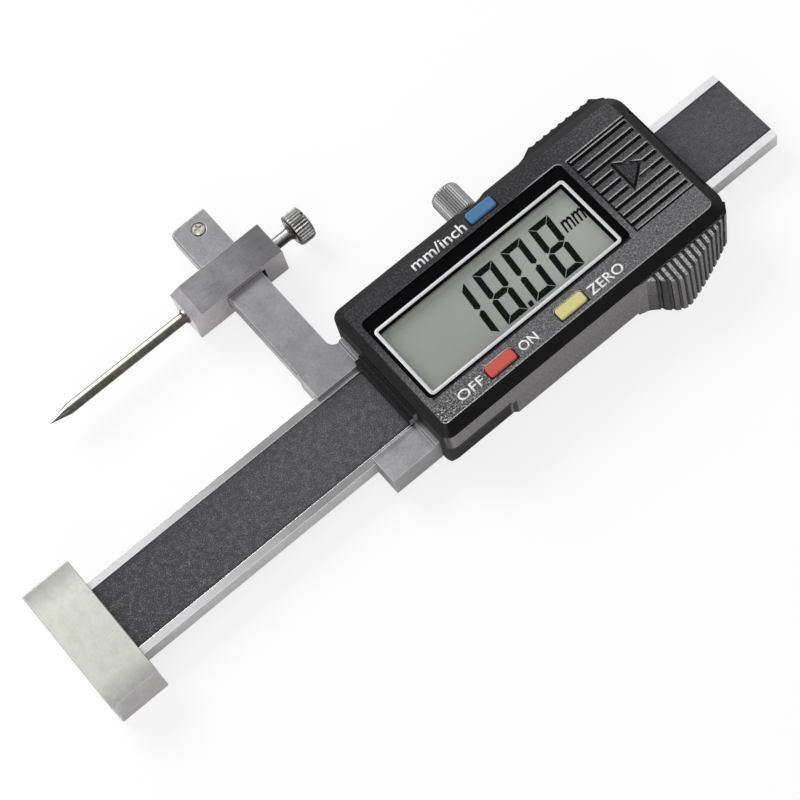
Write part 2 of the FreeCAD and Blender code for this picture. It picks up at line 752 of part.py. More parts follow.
def cut_window(shell):
    """Pocket for the lens and the opening over the display."""
    pocket = rounded_block(window_x0, window_x1, window_low, window_high, lens_low, housing_top + past,
                           window_corner)
    view = box(view_x0, view_x1, view_low, view_high, ceiling_z - past, housing_top)
    return shell.cut(pocket).cut(view)


def make_rear_housing():
    """Rear shell: floor, side walls and the lower half of the grips."""
    height = housing_part - house_back - foot_edge - seat_gap
    top = housing_part - seat_gap
    outline = rounded_outline(house_x0, house_x1, housing_half, house_back + foot_edge,
                              corner_start_r, corner_end_r)
    foot = rounded_outline(house_x0 + foot_edge, house_x1 - foot_edge, housing_half - foot_edge,
                           house_back, corner_start_r * 0.6, corner_end_r * 0.8)
    shell = slab(outline, height).fuse(Part.makeLoft([foot, outline], True, True))
    low_wing = grip(-1, house_back, top, grip_low_foot, 1)
    lean = (grip_low_foot - 1) * 4
    low_wing = low_wing.cut(Part.makeCompound(low_grooves(grip_low_foot, house_back, top, lean)))
    high_wing = grip(1, house_back, top, 1, 1)
    high_wing = high_wing.cut(Part.makeCompound(high_teeth(house_back, top)))
    shell = shell.fuse(low_wing).fuse(high_wing)
    shell = shell.cut(relief(-1)).cut(relief(1)).removeSplitter()
    shell = shell.cut(box(house_x0 - past, frame_end + side_play, -frame_room, frame_room,
                          frame_back - seat_gap, top + past))
    shell = shell.cut(box(frame_end - past, house_x1 + past, -beam_half - hole_gap, beam_half + hole_gap,
                          frame_back - seat_gap, top + past))
    wall = housing_half - frame_half + past
    for x in gib_screw_places:
        shell = shell.cut(rod(gib_screw_r + hole_gap, V(x, frame_half, beam_mid_z), AXIS_Y, wall))
    shell = shell.cut(rod(lock_r + hole_gap, V(lock_x, frame_half, beam_mid_z), AXIS_Y, wall))
    shell = shell.cut(lock_hollow())
    screws = []
    for x in house_screw_x:
        for y in (-house_screw_y, house_screw_y):
            head = V(x, y, house_back)
            cone = Part.makeCone(house_screw_head_r, house_screw_r, house_screw_head, head, AXIS_Z)
            shank = rod(house_screw_r, head, AXIS_Z, house_screw_len)
            bore = Part.makeCone(house_screw_head_r + seat_gap, house_screw_r + bore_gap,
                                 house_screw_head, head, AXIS_Z)
            shell = shell.cut(bore)
            shell = shell.cut(rod(house_screw_r + bore_gap, head, AXIS_Z, housing_floor + past))
            cross = [box(x - a, x + a, y - b, y + b, house_back - past, house_back + house_slot_depth)
                     for a, b in ((house_slot_half, house_slot_width / 2),
                                  (house_slot_width / 2, house_slot_half))]
            screws.append(cone.fuse(shank).cut(cross[0].fuse(cross[1])))
    export("rear_housing", shell)
    export("housing_screws", screws)


def relief(side):
    """Set-back of the rear shell's side near the base's end, with a ramp at its end."""
    inner = housing_half - relief_depth
    outer = housing_half + relief_ramp
    end = house_x0 + relief_len
    points = [(house_x0 - past, side * inner), (end, side * inner), (end + relief_ramp, side * outer),
              (house_x0 - past, side * outer)]
    return prism(points, house_back - past, housing_part + past)


def button_places():
    """Centres of the units, power and zero buttons."""
    low_y = low_row_edge - housing_half
    return [
        (window_x1 - units_inset, housing_half - units_edge),
        (window_x1 - power_inset, low_y),
        (window_x1 - zero_inset, low_y),
    ]


def make_buttons():
    """Three caps with their flanges and stems, and the switches under them."""
    names = ["button_units", "button_power", "button_zero"]
    switches = []
    for name, (x, y) in zip(names, button_places()):
        cap = rounded_block(x - button_len / 2, x + button_len / 2, y - button_width / 2,
                            y + button_width / 2, ceiling_z - button_root, housing_top + button_proud,
                            button_corner)
        top = [e for e in cap.Edges if e.BoundBox.ZMin > housing_top]
        cap = cap.makeChamfer(button_edge, top)
        flange_top = ceiling_z - run_gap
        cap = cap.fuse(box(x - button_len / 2 - button_flange, x + button_len / 2 + button_flange,
                           y - button_width / 2 - button_flange_side,
                           y + button_width / 2 + button_flange_side,
                           flange_top - button_flange_thick, flange_top))
        switch_top = board_top + switch_thick
        stem_low = switch_top + button_travel + run_gap
        cap = cap.fuse(rod(button_stem_r, V(x, y, stem_low), AXIS_Z, flange_top - stem_low - button_root))
        export(name, cap)
        switches.append(box(x - switch_side / 2, x + switch_side / 2, y - switch_width / 2,
                            y + switch_width / 2, board_top, switch_top))
    export("tact_switches", switches)


def make_display():
    """Lens, display glass, its rubber connectors, boards and the covered chip."""
    lens = rounded_block(window_x0 + seat_gap, window_x1 - seat_gap, window_low + seat_gap,
                         window_high - seat_gap, lens_low, lens_low + window_thick, window_corner)
    export("window_lens", lens)
    export("lcd_panel", box(lcd_x0, lcd_x1, lcd_y0, lcd_y1, lcd_low, lcd_top))
    mid_x = (board_x0 + board_x1) / 2
    strips = [box(board_x0 + zebra_inset, board_x1 - zebra_inset, y, y + zebra_width,
                  board_top, lcd_low)
              for y in (lcd_y0 + zebra_edge, lcd_y1 - zebra_edge - zebra_width)]
    export("zebra_strips", strips)
    export("main_board", box(board_x0, board_x1, -board_half, board_half, board_low, board_top))
    half = lip_edge - sensor_side_gap
    export("sensor_board", box(slider_x + sensor_start, board_x1 - 3 * hole_gap, -half, half,
                               sensor_gap, board_low))
    export("controller_chip", rod(chip_r, V(mid_x, 0, board_top), AXIS_Z, chip_thick))


def make_battery():
    """Cell, the leaf under it and the leaf at its side."""
    cell = rod(battery_r, V(cell_x, 0, battery_low), AXIS_Z, battery_thick)
    rims = [e for e in cell.Edges if e.BoundBox.ZLength < 0.01]
    export("battery", cell.makeChamfer(battery_edge, rims))
    y = leaf_width / 2
    low_z = battery_low - leaf_thick - seat_gap / 2
    start = board_x1 - leaf_hook
    low_leaf = box(start, cell_x + leaf_reach, -y, y, low_z, low_z + leaf_thick)
    riser = box(start, start + leaf_thick, -y, y, low_z, board_low)
    export("battery_contact_low", low_leaf.fuse(riser))
    tab = box(board_x1 - leaf_tab, cell_x - battery_r - leaf_thick, -y, y, board_top, board_top + leaf_thick)
    spring_x = cell_x - battery_r - seat_gap
    blade = box(spring_x - leaf_thick, spring_x, -y, y, board_top, board_top + blade_height)
    export("battery_contact_side", tab.fuse(blade))


def make_cover():
    """Sliding battery cover: rails, ribbed top, raised arrow and the end of the rim."""
    cover = box(cover_x0, house_x1, cover_low, cover_high, cover_z0, housing_top)
    seams = [e for e in cover.Edges if abs(e.CenterOfMass.z - housing_top) < 0.01
             and e.CenterOfMass.x < house_x1 - past]
    cover = cover.makeChamfer(cover_edge, seams)
    rails = []
    for y0, y1 in ((cover_low - cover_rail, cover_low + cover_rail_root),
                   (cover_high - cover_rail_root, cover_high + cover_rail)):
        rails.append(box(cover_x0, house_x1 - rim_end, y0, y1, cover_z0 - cover_rail_thick, cover_z0))
    cover = cover.fuse(rails)
    rim = [V(house_x1 - rim_end, 0, housing_top), V(house_x1 + past, 0, housing_top + past),
           V(house_x1 + past, 0, rim_z), V(house_x1, 0, rim_z)]
    slope = Part.Face(Part.makePolygon(rim + rim[:1])).extrude(V(0, 2 * housing_half, 0))
    slope.translate(V(0, -housing_half, 0))
    cover = cover.cut(slope)
    grooves = []
    y = cover_high - cover_pitch / 3
    while y > cover_low + cover_groove:
        grooves.append(box(cover_x0 - past, cover_x0 + cover_ribs, y - cover_groove, y,
                           housing_top - cover_groove_depth, housing_top + past))
        y -= cover_pitch
    mid_y = (cover_low + cover_high) / 2 + arrow_side
    x = cover_x0 + arrow_x
    m = arrow_margin
    island = prism([(x - m, mid_y - arrow_half - 1.6 * m), (x + arrow_len + 1.6 * m, mid_y),
                    (x - m, mid_y + arrow_half + 1.6 * m)], housing_top - cover_groove_depth, housing_top + past)
    arrow = prism([(x, mid_y - arrow_half), (x + arrow_len, mid_y), (x, mid_y + arrow_half)],
                  housing_top - cover_groove_depth, housing_top)
    cover = cover.cut(Part.makeCompound(grooves)).cut(island).fuse(arrow)
    export("battery_cover", cover)


os.makedirs("parts", exist_ok=True)
make_base()
make_beam()
make_frame()
make_gib()
make_lock()
make_carrier()
make_front_housing()
make_rear_housing()
make_buttons()
make_display()
make_battery()
make_cover()
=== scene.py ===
import math

import bmesh
import bpy
from mathutils import Matrix, Vector


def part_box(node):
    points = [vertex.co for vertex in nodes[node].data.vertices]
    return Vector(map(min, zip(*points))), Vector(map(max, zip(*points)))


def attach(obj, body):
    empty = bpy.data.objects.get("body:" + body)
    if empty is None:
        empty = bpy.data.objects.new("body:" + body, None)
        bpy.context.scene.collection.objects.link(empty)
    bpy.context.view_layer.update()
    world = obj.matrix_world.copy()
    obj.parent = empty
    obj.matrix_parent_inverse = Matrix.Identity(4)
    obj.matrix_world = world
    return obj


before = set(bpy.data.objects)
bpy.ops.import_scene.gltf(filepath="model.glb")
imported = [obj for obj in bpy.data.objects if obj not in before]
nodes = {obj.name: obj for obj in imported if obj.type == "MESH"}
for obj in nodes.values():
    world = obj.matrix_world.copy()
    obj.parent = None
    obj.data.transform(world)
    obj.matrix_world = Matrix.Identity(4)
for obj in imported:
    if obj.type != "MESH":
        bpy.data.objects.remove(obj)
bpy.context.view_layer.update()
MM = 0.001


def box_mm(name):
    """Lowest and highest corners of a CAD node in millimetres, to a micrometre."""
    return [tuple(round(v / MM, 3) for v in corner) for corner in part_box(name)]


def middle_mm(name):
    """Centre and half sizes of a CAD node, in millimetres."""
    low, high = box_mm(name)
    return [(a + b) / 2 for a, b in zip(low, high)], [(b - a) / 2 for a, b in zip(low, high)]


FACE = box_mm("front_housing")[1][2]
LENS_TOP = box_mm("window_lens")[1][2]
DISPLAY_TOP = box_mm("lcd_panel")[1][2]
COVER_LOW, COVER_HIGH = box_mm("battery_cover")

# Housing and cover, in millimetres
HALF_WIDTH = 15.2       # without the grips
RIM_DROP = 1.5          # from the face down to the foot of its sloped rim
SHOULDER = 1.6          # from the face down to the edge of the grip toward -Y
GRIP_SLOPE = 0.34       # rise of that grip's top toward the face
DARK_WALL_X = 81.0      # painted shade: the wall toward -Y is dark up to here in its lower half, as if it were set back
DARK_WALL_TOP = 1.15
CAP_HALF = (2.8, 1.1)   # half length and half width of a button's cap
COVER_RAIL = 0.75       # reach of the cover's rails beyond its visible part
GROOVE_PITCH = 1.91
GROOVE_START = COVER_HIGH[1] - COVER_RAIL - GROOVE_PITCH / 3    # Y of the first groove's edge
ARROW_X = 5.4           # from the cover's near edge to the arrow's broad end
ARROW_SIDE = 0.45       # from the cover's middle to the arrow's
ARROW_LONG = 2.95
ARROW_HALF = 2.4
ARROW_FIELD = (1.7, 2.4, 3.5)   # smooth field round it: middle from the broad end, half length, half width

# Window, in millimetres: X from, X to, Y from, Y to
CLEAR_ZONE = (71.4, 111.05, -7.5, 6.74)
LINE_OUTER = (71.12, 112.12, -7.88, 7.61)
LINE_INNER = (71.73, 111.52, -7.28, 7.0)
LINE_OUTER_R = 0.8
LINE_INNER_R = 0.3
LINE_CROWN = 0.04
INK = 0.02              # thickness of what is printed

# Nearly all of a metal's noise lies between these two values
LOW, HIGH = 0.32, 0.68


class Tree:
    """A node tree, with a short call for each kind of node that is used here."""

    def __init__(self, tree):
        self.tree = tree

    def node(self, kind, **settings):
        made = self.tree.nodes.new(kind)
        for key, value in settings.items():
            setattr(made, key, value)
        return made

    def feed(self, socket, value):
        """Link another socket to a socket, or set a plain value on it."""
        if isinstance(value, bpy.types.NodeSocket):
            self.tree.links.new(value, socket)
        elif socket.type == "RGBA":
            socket.default_value = (*value, 1)
        else:
            socket.default_value = value

    def math(self, operation, *values):
        made = self.node("ShaderNodeMath", operation=operation)
        for socket, value in zip(made.inputs, values):
            self.feed(socket, value)
        return made.outputs[0]

    def plus(self, a, b):
        return self.math("ADD", a, b)

    def minus(self, a, b):
        return self.math("SUBTRACT", a, b)

    def times(self, a, b):
        return self.math("MULTIPLY", a, b)

    def larger(self, a, b):
        return self.math("MAXIMUM", a, b)

    def smaller(self, a, b):
        return self.math("MINIMUM", a, b)

    def size(self, a):
        return self.math("ABSOLUTE", a)

    def opposite(self, share):
        return self.minus(1.0, share)

    def weighted(self, a, share_a, b, share_b):
        return self.plus(self.times(a, share_a), self.times(b, share_b))

    def between(self, value, low, high):
        """1 between two limits, and 0 outside."""
        return self.times(self.math("GREATER_THAN", value, low), self.math("LESS_THAN", value, high))

    def spread(self, value, low, high, out_low, out_high):
        """A value's range from low to high, drawn onto another range."""
        made = self.node("ShaderNodeMapRange")
        for socket, given in zip(made.inputs, (value, low, high, out_low, out_high)):
            self.feed(socket, given)
        return made.outputs["Result"]

    def rise(self, value, low, high, top=1.0):
        """0 up to low, and top from high on."""
        return self.spread(value, low, high, 0.0, top)

    def fall(self, value, low, high, top=1.0):
        """Top up to low, and 0 from high on."""
        return self.spread(value, low, high, top, 0.0)

    def mix(self, share, a, b):
        """From colour a to colour b."""
        made = self.node("ShaderNodeMix", data_type="RGBA")
        for index, value in ((0, share), (6, a), (7, b)):
            self.feed(made.inputs[index], value)
        return made.outputs[2]

    def mix_number(self, share, a, b):
        made = self.node("ShaderNodeMix", data_type="FLOAT")
        for index, value in ((0, share), (2, a), (3, b)):
            self.feed(made.inputs[index], value)
        return made.outputs[0]

    def mix_shader(self, share, a, b):
        made = self.node("ShaderNodeMixShader")
        for socket, value in zip(made.inputs, (share, a, b)):
            self.feed(socket, value)
        return made.outputs[0]

    def xyz(self, value):
        """The three parts of a vector."""
        made = self.node("ShaderNodeSeparateXYZ")
        self.feed(made.inputs[0], value)
        return made.outputs[:]

    def vector(self, operation, *values):
        made = self.node("ShaderNodeVectorMath", operation=operation)
        for socket, value in zip(made.inputs, values):
            self.feed(socket, value)
        return made.outputs

    def ramp(self, value, *stops):
        """Colours over a value: stops of (place, colour)."""
        made = self.node("ShaderNodeValToRGB")
        elements = made.color_ramp.elements
        while len(elements) < len(stops):
            elements.new(0.5)
        for element, (place, colour) in zip(elements, stops):
            element.position = place
            element.color = (*colour, 1)
        self.feed(made.inputs[0], value)
        return made.outputs["Color"]


class Paint(Tree):
    """A material whose noise and places are in the object's own millimetres."""

    def __init__(self, name):
        self.material = bpy.data.materials.new(name)
        self.material.use_nodes = True
        super().__init__(self.material.node_tree)
        self.shader = self.tree.nodes["Principled BSDF"]
        coords = self.node("ShaderNodeTexCoord").outputs
        self.where = self.vector("MULTIPLY", coords["Object"], (1 / MM, 1 / MM, 1 / MM))[0]
        self.normal = coords["Normal"]

    def set(self, name, value):
        """A number, a colour or a socket for one of the shader's inputs."""
        self.feed(self.shader.inputs[name], value)

    def noise(self, scale, detail=3.0, rough=0.6, stretch=(1, 1, 1)):
        """Noise with so many features per millimetre, over a stretched place."""
        mapping = self.node("ShaderNodeMapping")
        self.feed(mapping.inputs["Vector"], self.where)
        self.feed(mapping.inputs["Scale"], stretch)
        made = self.node("ShaderNodeTexNoise")
        self.feed(made.inputs["Vector"], mapping.outputs[0])
        for name, value in (("Scale", scale), ("Detail", detail), ("Roughness", rough)):
            self.feed(made.inputs[name], value)
        return made.outputs["Fac"]

    def rounded_normal(self, radius):
        """The surface's normal as if its edges were rounded."""
        bevel = self.node("ShaderNodeBevel", samples=6)
        self.feed(bevel.inputs["Radius"], radius * MM)
        return bevel.outputs[0]

    def bump(self, height, strength, depth, edge=0.0):
        """Bumps on the surface, and edges that the light sees as slightly rounded."""
        made = self.node("ShaderNodeBump")
        for name, value in (("Strength", strength), ("Distance", depth * MM), ("Height", height)):
            self.feed(made.inputs[name], value)
        if edge:
            self.feed(made.inputs["Normal"], self.rounded_normal(edge))
        self.set("Normal", made.outputs[0])

    def painted_edge_highlight(self, radius, low=0.02, high=0.14):
        """1 along sharp edges, and 0 on flat faces: the share of a painted edge highlight."""
        flat = self.node("ShaderNodeNewGeometry").outputs["Normal"]
        same = self.vector("DOT_PRODUCT", self.rounded_normal(radius), flat)["Value"]
        return self.rise(self.opposite(same), low, high)


def faded(p, value, colour, axis, low, high, dark, light, until=None):
    """A colour that turns to another along an axis and, where given, back again."""
    along = p.xyz(p.where)["XYZ".index(axis)]
    share = p.rise(p.size(along), low, high)
    if until:
        share = p.times(share, p.fall(along, *until))
    return p.mix(share, colour, p.ramp(value, (LOW, dark), (HIGH, light)))


def steel(name, dark, light, rough, streak=6.0, stretch=(1, 1, 1), relief=0.004, edge=0.12, patch=0.12,
          grit=0.0, fade=(), sides=None, turn_at=(0.3, 0.9), lean=0.0, edge_highlight=None, metallic=1.0):
    """Metal with fine scratches, cloudy patches, a tone of its own on faces turned from +Z that paints light
    and shade there, and painted highlights on its edges.

    streak and patch are features per millimetre, relief and edge are millimetres, and grit is the share
    of a third noise. lean tips the direction that counts as up from +Z toward +Y.
    """
    p = Paint(name)
    lines = p.noise(streak, 4.0, 0.7, stretch)
    both = p.weighted(lines, 0.6 - grit, p.noise(patch, 3.0, 0.55), 0.4)
    if grit:
        both = p.plus(both, p.times(p.noise(2.6), grit))
    colour = p.ramp(both, (LOW, dark), (HIGH, light))
    for change in fade:
        colour = faded(p, both, colour, **change)
    # Painted light: faces turned from +Z get the sides tone, which stands for light and shade the lamps don't
    # give there, such as the block's lighter sides and the needle's dark flanks.
    if sides:
        upward = p.vector("DOT_PRODUCT", p.normal, (0, math.sin(lean), math.cos(lean)))["Value"]
        side = p.ramp(both, (LOW, sides[0]), (HIGH, sides[1]))
        colour = p.mix(p.fall(p.size(upward), *turn_at), colour, side)
    # Painted highlight: a lighter colour along the edges.
    if edge_highlight:
        colour = p.mix(p.painted_edge_highlight(0.22), colour, edge_highlight)
    p.set("Base Color", colour)
    p.set("Roughness", p.spread(both, LOW, HIGH, rough + 0.07, rough - 0.05))
    p.set("Metallic", metallic)
    p.bump(lines, 0.35, relief, edge)
    return p.material


def knob_steel(name, screw, axis, depth, dull, bright, groove_shade):
    """Plated steel of a knurled screw that turns about X or Y, with painted shade between ribs of a given
    depth and on the sides of its neck.
    """
    centre, half = middle_mm(screw)
    around = [k for k in range(3) if "XYZ"[k] != axis]
    radius = max(half[k] for k in around)
    p = Paint(name)
    mask = tuple(1 if k in around else 0 for k in range(3))
    offset = tuple(-centre[k] if k in around else 0 for k in range(3))
    away = p.vector("LENGTH", p.vector("MULTIPLY_ADD", p.where, mask, offset)[0])["Value"]
    cloud = p.noise(1.2, 4.0, 0.6)
    # Painted shade: darker deep between the ribs, where shade falls.
    ribs = p.times(p.fall(away, radius - depth, radius - depth * 0.25),
                   p.rise(away, radius * 0.62, radius * 0.75))
    # Painted shade: the neck's faces that are not turned up are darkened.
    neck = p.times(p.fall(p.xyz(p.normal)[2], 0.82, 0.98), p.fall(away, 1.55, 1.75))
    plated = p.ramp(cloud, (0.3, dull), (0.7, bright))
    plated = p.mix(neck, plated, (0.075, 0.072, 0.070))
    p.set("Base Color", p.mix(ribs, plated, groove_shade))
    p.set("Roughness", p.spread(cloud, 0.3, 0.7, 0.38, 0.26))
    p.set("Metallic", 1.0)
    p.bump(cloud, 0.3, 0.006, 0.05)
    return p.material


def plastic(name, dark, light, rough, grain=5.0, relief=0.02, edge=0.12, specular=0.5):
    """Moulded plastic with so many grains per millimetre; relief and edge are millimetres."""
    p = Paint(name)
    fine = p.noise(grain, 3.0, 0.65)
    p.set("Base Color", p.ramp(fine, (0.3, dark), (0.72, light)))
    p.set("Roughness", p.spread(fine, 0.3, 0.7, rough + 0.08, rough - 0.08))
    p.set("Specular IOR Level", specular)
    p.bump(fine, 0.5, relief, edge)
    return p.material


class HousingPaint(Paint):
    """Black moulded plastic: grained face, glossy slopes, with painted light: a sheen and glints on the face,
    greyer sides toward -Y, and highlights as pale lines on the edges toward -Y.
    """

    def __init__(self):
        super().__init__("housing_black")
        self.x, self.y, self.z = self.xyz(self.where)
        self.nx, self.ny, self.nz = self.xyz(self.normal)
        self.coarse = self.noise(2.9)
        self.both = self.weighted(self.coarse, 0.55, self.noise(5.5, 1.5, 0.5), 0.45)
        self.dark = self.ramp(self.both, (0.38, (0.016, 0.016, 0.017)), (0.50, (0.034, 0.034, 0.037)),
                              (0.60, (0.068, 0.068, 0.073)), (0.74, (0.14, 0.14, 0.15)))
        # grey is a lit copy of the black, used for painted light on the face and groove floors.
        self.grey = self.ramp(self.both, (0.34, (0.040, 0.039, 0.041)), (0.48, (0.110, 0.108, 0.112)),
                              (0.58, (0.185, 0.183, 0.190)), (0.70, (0.42, 0.42, 0.43)))
        self.near_corner = self.times(self.fall(self.x, 70.0, 92.0), self.fall(self.y, -11.0, -8.5))
        self.top = self.times(self.rise(self.nz, 0.95, 0.985), self.rise(self.z, FACE - 0.1, FACE - 0.05))
        self.mark_arrow()
        self.colour()
        self.gloss()

    def fine_ramp(self, dark, light):
        """Two tones that follow the coarser of the two grains."""
        return self.ramp(self.coarse, (0.3, dark), (0.7, light))

    def mark_arrow(self):
        """The distance beyond the arrow's outline, and the arrow itself."""
        self.foot = COVER_LOW[0] + ARROW_X
        self.across = self.size(self.minus(self.y, (COVER_LOW[1] + COVER_HIGH[1]) / 2 + ARROW_SIDE))
        slope = ARROW_HALF / ARROW_LONG
        outline = self.minus(ARROW_HALF, self.times(self.minus(self.x, self.foot), slope))
        off_side = self.times(self.minus(self.across, outline), math.cos(math.atan(slope)))
        self.beyond = self.larger(off_side, self.minus(self.foot, self.x))
        self.arrow = self.fall(self.beyond, 0.0, 0.1)

    def gaps(self):
        """Painted shade: black gaps at the window's edge toward -Y and round the three caps."""
        (lens_x, _, _), (half_x, _, _) = middle_mm("window_lens")
        below = self.minus(self.y, box_mm("window_lens")[0][1])
        beside = self.minus(self.size(self.minus(self.x, lens_x)), half_x)
        gap = self.times(self.times(self.rise(below, -0.36, -0.24), self.fall(below, 0.18, 0.28)),
                         self.fall(beside, -0.38, -0.28))
        for cap in ("button_units", "button_power", "button_zero"):
            centre = middle_mm(cap)[0]
            off_x = self.minus(self.size(self.minus(self.x, centre[0])), CAP_HALF[0])
            off_y = self.minus(self.size(self.minus(self.y, centre[1])), CAP_HALF[1])
            gap = self.larger(gap, self.fall(self.larger(off_x, off_y), 0.22, 0.32))
        return gap

    def face(self):
        """The face: dark toward +Y, with a painted sheen that greys it toward -Y and toward its far end,
        painted glints at its near corner and painted shade in the gaps.
        """
        painted_glints = self.ramp(self.both, (0.40, (0.014, 0.014, 0.015)), (0.50, (0.075, 0.075, 0.078)),
                            (0.58, (0.30, 0.30, 0.30)), (0.66, (0.85, 0.85, 0.85)))
        toward = self.larger(self.fall(self.y, -8.5, 7.0), self.rise(self.x, 112.0, 122.0, 0.3))
        colour = self.mix(toward, self.dark, self.grey)
        colour = self.mix(self.near_corner, colour, painted_glints)
        colour = self.mix(self.gaps(), colour, (0.004, 0.004, 0.0045))
        return self.mix(self.arrow, colour, self.dark)

    def slopes(self):
        """Slopes of the rim and grooves, with painted light: slopes turned toward X lighter, groove floors in
        painted shade on the side of the light only, and painted lit grey beyond it.
        """
        colour = self.mix(self.rise(self.size(self.nx), 0.3, 0.5),
                          self.fine_ramp((0.003, 0.003, 0.0035), (0.007, 0.007, 0.0075)),
                          self.fine_ramp((0.010, 0.010, 0.0105), (0.018, 0.018, 0.019)))
        wave = self.math("FRACT", self.times(self.minus(GROOVE_START, self.y), 1 / GROOVE_PITCH))
        middle, half_long, half_wide = ARROW_FIELD
        along = self.size(self.minus(self.x, self.foot + middle))
        aside = self.larger(self.rise(self.across, half_wide, half_wide + 0.1),
                            self.rise(along, half_long, half_long + 0.1))
        bare = self.larger(self.times(self.rise(wave, 0.19, 0.24), aside),
                           self.times(self.rise(self.beyond, 0.36, 0.46), self.opposite(aside)))
        level = self.times(self.rise(self.nz, 0.9, 0.95), self.rise(self.z, FACE - 0.8, FACE - 0.7))
        return self.mix(self.times(bare, level), colour, self.grey)

    def sides(self):
        """Sides: black toward +Y and both ends, with painted light greying those toward -Y, painted shade on
        the lower wall at the near end, and a painted highlight on the grip's upper edge.
        """
        facing = self.larger(self.fall(self.ny, -0.94, -0.70),
                             self.times(self.fall(self.nx, -0.85, -0.5, 0.5), self.fall(self.ny, -0.6, -0.4)))
        colour = self.mix(facing, self.fine_ramp((0.006, 0.006, 0.007), (0.012, 0.012, 0.013)),
                          self.fine_ramp((0.140, 0.133, 0.138), (0.285, 0.274, 0.281)))
        # Painted shade: the lower wall at the near end is darkened as if set back.
        painted_recess_shade = self.times(self.fall(self.x, DARK_WALL_X, DARK_WALL_X + 0.2),
                              self.fall(self.z, DARK_WALL_TOP, DARK_WALL_TOP + 0.15))
        colour = self.mix(painted_recess_shade, colour, self.fine_ramp((0.018, 0.018, 0.019), (0.036, 0.035, 0.037)))
        under = self.ramp(self.both, (0.36, (0.014, 0.014, 0.015)), (0.66, (0.040, 0.040, 0.042)))
        colour = self.mix(self.fall(self.nz, -0.95, -0.8), colour, under)
        grip_top = self.plus(self.times(self.y, GRIP_SLOPE), GRIP_SLOPE * HALF_WIDTH + FACE - SHOULDER)
        on_grip = self.times(self.rise(self.nz, 0.7, 0.85),
                             self.fall(self.y, -HALF_WIDTH - 0.4, -HALF_WIDTH - 0.1))
        ridge = self.times(self.spread(self.minus(self.z, grip_top), -0.20, -0.05, 0.12, 1.0), on_grip)
        lit = self.ramp(self.both, (0.36, (0.10, 0.098, 0.103)), (0.48, (0.32, 0.315, 0.325)),
                        (0.58, (0.58, 0.575, 0.585)), (0.68, (0.90, 0.90, 0.90)))
        return self.mix(ridge, colour, lit)

    def lit_edges(self):
        """Edges toward -Y that catch the light, except round the arrow and above the window."""
        bent = self.xyz(self.rounded_normal(0.42))[1]
        lit = self.times(self.times(self.fall(bent, -0.22, -0.05), self.top), self.opposite(self.arrow))
        over_window = self.smaller(self.rise(self.y, 7.0, 7.5), self.fall(self.y, 11.2, 11.6))
        return self.times(lit, self.opposite(self.times(over_window, self.fall(self.x, 104.0, 110.0, 0.95))))

    def colour(self):
        """Face, slopes and sides put together, with painted highlights on the lit edges and along sharp edges
        over them.
        """
        rim_foot = FACE - RIM_DROP
        self.rim = self.rise(self.z, rim_foot - 0.06, rim_foot + 0.02)
        colour = self.mix(self.rim, self.sides(), self.mix(self.top, self.slopes(), self.face()))
        # Painted highlight colour on the lit edges, greyer at the near corner.
        pale = self.mix(self.near_corner, (0.60, 0.60, 0.61), (0.95, 0.95, 0.95))
        lit = self.times(self.lit_edges(), self.spread(self.both, 0.36, 0.52, 0.4, 1.0))
        colour = self.mix(lit, colour, pale)
        # Painted highlight along sharp edges.
        edge_highlight = self.times(self.painted_edge_highlight(0.14, 0.02, 0.12), self.spread(self.coarse, 0.35, 0.6, 0.15, 0.7))
        self.set("Base Color", self.mix(edge_highlight, colour, (0.11, 0.11, 0.115)))

    def gloss(self):
        """Roughness and relief: strongest grain on the face, and the smoothest slopes."""
        slopes = self.spread(self.rim, 0.0, 1.0, 0.42, 0.22)
        grained = self.spread(self.both, 0.35, 0.75, 0.50, 0.34)
        self.set("Roughness", self.mix_number(self.top, slopes, grained))
        self.set("Specular IOR Level", 0.08)
        self.bump(self.times(self.both, self.spread(self.top, 0.0, 1.0, 0.12, 1.0)), 0.8, 0.06, 0.16)


def lens_material():
    """Clear window, printed gloss black outside its clear zone."""
    p = Paint("window_print")
    x, y, _ = p.xyz(p.where)
    x0, x1, y0, y1 = CLEAR_ZONE
    inside = p.times(p.between(x, x0, x1), p.between(y, y0, y1))
    dust = p.noise(1.5)
    clear = p.ramp(dust, (0.3, (0.010, 0.011, 0.010)), (0.7, (0.030, 0.032, 0.030)))
    border = p.ramp(dust, (0.3, (0.0015, 0.0015, 0.002)), (0.7, (0.003, 0.003, 0.0035)))
    p.set("Base Color", p.mix(inside, border, clear))
    shadow = p.node("ShaderNodeLightPath").outputs["Is Shadow Ray"]
    p.set("Alpha", p.times(p.spread(inside, 0, 1, 1.0, 0.03), p.opposite(shadow)))
    p.set("Roughness", p.spread(dust, 0.3, 0.7, 0.05, 0.09))
    p.set("Specular IOR Level", 0.02)
    p.material.surface_render_method = "BLENDED"
    return p.material


